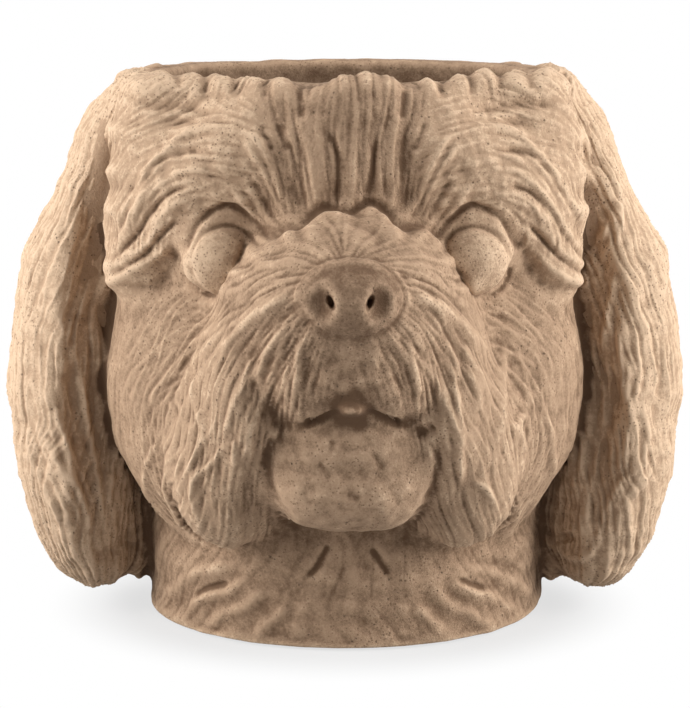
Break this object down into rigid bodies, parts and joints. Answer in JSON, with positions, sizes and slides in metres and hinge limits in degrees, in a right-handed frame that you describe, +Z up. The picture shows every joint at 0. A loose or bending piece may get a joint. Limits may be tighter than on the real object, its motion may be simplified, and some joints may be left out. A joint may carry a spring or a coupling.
{
  "type": "dog-head flower pot",
  "caption": "Round cast-stone planter modelled as the head of a shaggy dog with hanging ears, open at the top, with a drain hole closed by a rubber plug.",
  "frame": {"origin": "on the pot's axis, on the surface that it stands on", "axes": "the dog faces -Y, its own left side is +X, +Z is up out of the mouth of the pot"},
  "size_m": [0.289, 0.2548, 0.228],
  "materials": {
    "cast_stone": "matt, sandy and pitted, darker in the hollows",
    "plug_rubber": "matt moulded rubber"
  },
  "bodies": {
    "pot": {"pot_vessel": "cast_stone", "neck_ruff": "cast_stone", "forelock": "cast_stone", "muzzle": "cast_stone", "nose": "cast_stone", "chin": "cast_stone", "tongue": "cast_stone", "left_eye": "cast_stone", "left_eyelid": "cast_stone", "left_brow": "cast_stone", "left_cheek": "cast_stone", "left_ear": "cast_stone", "left_jowl": "cast_stone", "right_eye": "cast_stone", "right_eyelid": "cast_stone", "right_brow": "cast_stone", "right_cheek": "cast_stone", "right_ear": "cast_stone", "right_jowl": "cast_stone"},
    "plug": {"drain_plug": "plug_rubber"}
  },
  "joints": [
    {"name": "plug_lift", "type": "slide", "parent": "pot", "child": "plug", "axis": [0, 0, 1], "range_m": [0, 0.24]}
  ]
}
